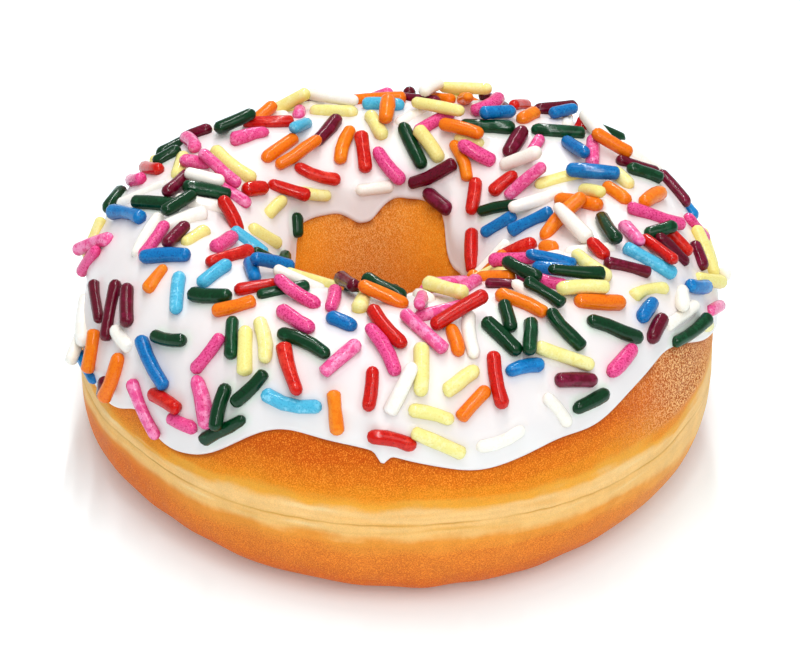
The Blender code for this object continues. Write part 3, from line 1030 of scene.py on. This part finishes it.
class DOUGHNUT_OT_icing(bpy.types.Operator):
    """Pours the icing over the dough, with its lobes, its rounded edge and a collar round each sprinkle"""

    bl_idname = "doughnut.icing"
    bl_label = "Icing"

    def execute(self, context):
        settings = context.scene.doughnut_icing
        ring = ring_sizes(context.scene)
        layout = scatter_sprinkles(ring, scatter_sizes(context.scene))
        bearing = np.linspace(0.0, 2.0 * np.pi, ICING_COLUMNS, endpoint=False)[None, :]
        outer, inner = icing_edges(ring, bearing)

        reach = 17.0 * MM
        rim = np.linspace(LIP_START, 0.5 * np.pi, 11)[:, None]
        rim_turn = LIP_WIDTH / reach * (1.0 - np.cos(rim))
        rim_share = (np.sin(rim) - np.sin(LIP_START)) / (1.0 - np.sin(LIP_START))
        share = np.linspace(0.0, 1.0, 116)[1:-1, None]
        start = outer + LIP_WIDTH / reach
        end = inner - LIP_WIDTH / reach
        steady = 4.0 * share * (1.0 - share)
        level = start.mean() + share * (end.mean() - start.mean())
        top = (1.0 - steady) * (start + share * (end - start)) + steady * level
        tilt = np.concatenate([outer + rim_turn, top, (inner - rim_turn)[::-1]])

        lip = np.concatenate([rim_share, np.ones_like(share), rim_share[::-1]])
        base = 0.95 * lumps(bearing, tilt) - 0.12 * MM
        brink = np.concatenate(
            [
                np.broadcast_to(outer + 1.02 * LIP_WIDTH / reach, (len(rim), ICING_COLUMNS)),
                top,
                np.broadcast_to(inner - 1.02 * LIP_WIDTH / reach, (len(rim), ICING_COLUMNS)),
            ]
        )
        lift = base + lip * (icing_lift(ring, bearing, brink) - base)
        points = skin(ring, bearing, tilt, lift)
        gap, stain = touch(points, layout, context.scene)
        lift = lift + settings.collar * lip * np.exp(-((np.maximum(gap, 0.0) / (0.42 * MM)) ** 2))
        points = skin(ring, bearing, tilt, lift)

        back = inner - (inner - outer) * np.linspace(0.0, 1.0, 12)[1:-1, None]
        under = skin(ring, bearing, back, 0.95 * lumps(bearing, back) - 0.25 * MM)
        piece = loft("icing_coat", np.concatenate([points, under]))
        plain = np.ones((*under.shape[:2], 4))
        store_colour(piece, "stain", np.concatenate([stain, plain]))
        piece.data.materials.append(icing_material(settings))
        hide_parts("icing")
        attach(piece, "root")
        return {"FINISHED"}


def touch(points, layout, scene):
    """For each point, the gap to the nearest sprinkle and the tint round the sprinkles, partly their bled dye and
    partly painted bounce light of their colour:
    1 - tint strength exp(-(gap / reach)^2) (1 - sugar's colour)."""
    flat = points.reshape(-1, 3).astype(np.float32)
    spots = layout["spots"].astype(np.float32)
    reaches = layout["reaches"].astype(np.float32)
    gap = np.full(len(flat), 1.0, dtype=np.float32)
    nearest = np.zeros(len(flat), dtype=np.int64)
    squares = (spots**2).sum(axis=1)
    for start in range(0, len(flat), 4096):
        block = flat[start : start + 4096]
        away = (block**2).sum(axis=1)[:, None] + squares[None] - 2.0 * block @ spots.T
        away = np.sqrt(np.maximum(away, 0.0)) - reaches[None]
        nearest[start : start + 4096] = away.argmin(axis=1)
        gap[start : start + 4096] = away.min(axis=1)
    colours = np.array([tuple(getattr(scene.doughnut_sprinkles, name)) for name, _, _ in SUGARS])
    colour = colours[layout["sugar"][nearest // SPRINKLE_SAMPLES]]
    colour = 0.35 + 0.65 * colour / colour.max(axis=1, keepdims=True)
    # Near each sprinkle the icing takes its colour: partly bled dye, partly painted bounce light.
    share = scene.doughnut_icing.stain * np.exp(-((np.maximum(gap, 0.0) / (0.7 * MM)) ** 2))
    stain = np.ones((len(flat), 4))
    stain[:, :3] = 1.0 - share[:, None] * (1.0 - colour)
    return gap.reshape(points.shape[:2]), stain.reshape(*points.shape[:2], 4)


class DOUGHNUT_OT_sprinkles(bpy.types.Operator):
    """Scatters the sugar sprinkles over the icing, one piece for each colour"""

    bl_idname = "doughnut.sprinkles"
    bl_label = "Sprinkles"

    def execute(self, context):
        settings = context.scene.doughnut_sprinkles
        layout = scatter_sprinkles(ring_sizes(context.scene), scatter_sizes(context.scene))
        draw = np.random.default_rng(settings.seed + 1)
        for index, (name, _, _) in enumerate(SUGARS):
            chosen = np.flatnonzero(layout["sugar"] == index)
            piece = rod_mesh(f"{name}_sprinkles", layout, chosen, draw)
            colour = np.array(getattr(settings, name))
            piece.data.materials.append(sugar_material(name, colour))
            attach(piece, "root")
        return {"FINISHED"}


class DOUGHNUT_OT_stage(bpy.types.Operator):
    """Sets out the table, the soft lights and the camera"""

    bl_idname = "doughnut.stage"
    bl_label = "Stage"

    def execute(self, context):
        scene = context.scene
        settings = scene.doughnut_stage
        scene.view_settings.view_transform = "Standard"

        reach = 3.0
        corners = np.array([(-reach, -reach, 0.0), (reach, -reach, 0.0), (reach, reach, 0.0), (-reach, reach, 0.0)])
        table = mesh_piece("table", corners, np.array([[0, 1, 2, 3]]))
        recipe = Recipe("matt_table")
        recipe.surface.inputs["Base Color"].default_value = rgba(settings.table_colour)
        recipe.surface.inputs["Roughness"].default_value = 0.7
        recipe.surface.inputs["Specular IOR Level"].default_value = 0.0
        recipe.surface.inputs["Emission Color"].default_value = (1.0, 0.92, 0.86, 1.0)
        recipe.surface.inputs["Emission Strength"].default_value = settings.table_glow
        table.data.materials.append(recipe.material)

        world = bpy.data.worlds.new("even_room")
        world.use_nodes = True
        background = next(node for node in world.node_tree.nodes if node.type == "BACKGROUND")
        background.inputs["Color"].default_value = (0.97, 0.98, 1.0, 1.0)
        background.inputs["Strength"].default_value = settings.sky_strength
        scene.world = world

        middle = Vector((*RING_MIDDLE, 17.0 * MM))
        softbox("key_softbox", middle, (-0.16, 0.05, 0.66), (0.20, 0.20), settings.key_power, (1.0, 0.99, 0.97))
        softbox("front_softbox", middle, (0.28, -0.42, 0.52), (0.40, 0.40), settings.fill_power, (1.0, 0.98, 0.96))
        for number, offset in enumerate(STRIPS, 1):
            softbox(f"strip_{number}", middle, offset, (0.012, 0.28), settings.strip_power, (1.0, 1.0, 1.0))

        ahead = Vector((0.0, np.cos(settings.elevation), -np.sin(settings.elevation)))
        right = Vector((1.0, 0.0, 0.0))
        upward = right.cross(ahead)
        level = right * np.cos(settings.roll) + upward * np.sin(settings.roll)
        above = upward * np.cos(settings.roll) - right * np.sin(settings.roll)
        place = middle - ahead * settings.distance + level * (0.4 * MM) + above * (0.55 * MM)
        data = bpy.data.cameras.new("camera")
        data.lens = settings.lens
        data.clip_start = 0.05
        camera = bpy.data.objects.new("camera", data)
        camera.matrix_world = Matrix.Translation(place) @ Matrix((level, above, -ahead)).transposed().to_4x4()
        scene.collection.objects.link(camera)
        scene.camera = camera
        return {"FINISHED"}


def softbox(name, target, offset, size, power, colour):
    """A soft light that faces the target from an offset; its size is its width and its length up the arch."""
    data = bpy.data.lights.new(name, "AREA")
    data.shape = "RECTANGLE"
    data.size, data.size_y = size
    data.energy = power
    data.color = colour
    light = bpy.data.objects.new(name, data)
    light.location = target + Vector(offset)
    light.rotation_euler = Vector(offset).to_track_quat("Z", "Y").to_euler()
    bpy.context.scene.collection.objects.link(light)


class DOUGHNUT_PT_steps(bpy.types.Panel):
    """The steps of making the doughnut, with their settings"""

    bl_idname = "DOUGHNUT_PT_steps"
    bl_label = "Frosted Ring Doughnut"
    bl_space_type = "VIEW_3D"
    bl_region_type = "UI"
    bl_category = "Doughnut"

    def draw(self, context):
        for step, group in STEPS:
            box = self.layout.box()
            box.operator(step.bl_idname)
            settings = getattr(context.scene, group)
            for key in type(settings).__annotations__:
                box.prop(settings, key)


STEPS = (
    (DOUGHNUT_OT_dough, "doughnut_dough"),
    (DOUGHNUT_OT_icing, "doughnut_icing"),
    (DOUGHNUT_OT_sprinkles, "doughnut_sprinkles"),
    (DOUGHNUT_OT_stage, "doughnut_stage"),
)
GROUPS = {
    "doughnut_dough": DoughSettings,
    "doughnut_icing": IcingSettings,
    "doughnut_sprinkles": SprinkleSettings,
    "doughnut_stage": StageSettings,
}


def register():
    for key, group in GROUPS.items():
        bpy.utils.register_class(group)
        setattr(bpy.types.Scene, key, bpy.props.PointerProperty(type=group))
    for step, _ in STEPS:
        bpy.utils.register_class(step)
    bpy.utils.register_class(DOUGHNUT_PT_steps)


def unregister():
    bpy.utils.unregister_class(DOUGHNUT_PT_steps)
    for step, _ in reversed(STEPS):
        bpy.utils.unregister_class(step)
    for key, group in GROUPS.items():
        delattr(bpy.types.Scene, key)
        bpy.utils.unregister_class(group)


def plain(bounds):
    """A box's corners as plain lists of numbers."""
    return [[float(number) for number in corner] for corner in bounds]


def main():
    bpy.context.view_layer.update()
    register()
    bpy.ops.doughnut.dough()
    bpy.ops.doughnut.icing()
    bpy.ops.doughnut.sprinkles()
    bpy.ops.doughnut.stage()


if __name__ == "__main__":
    main()
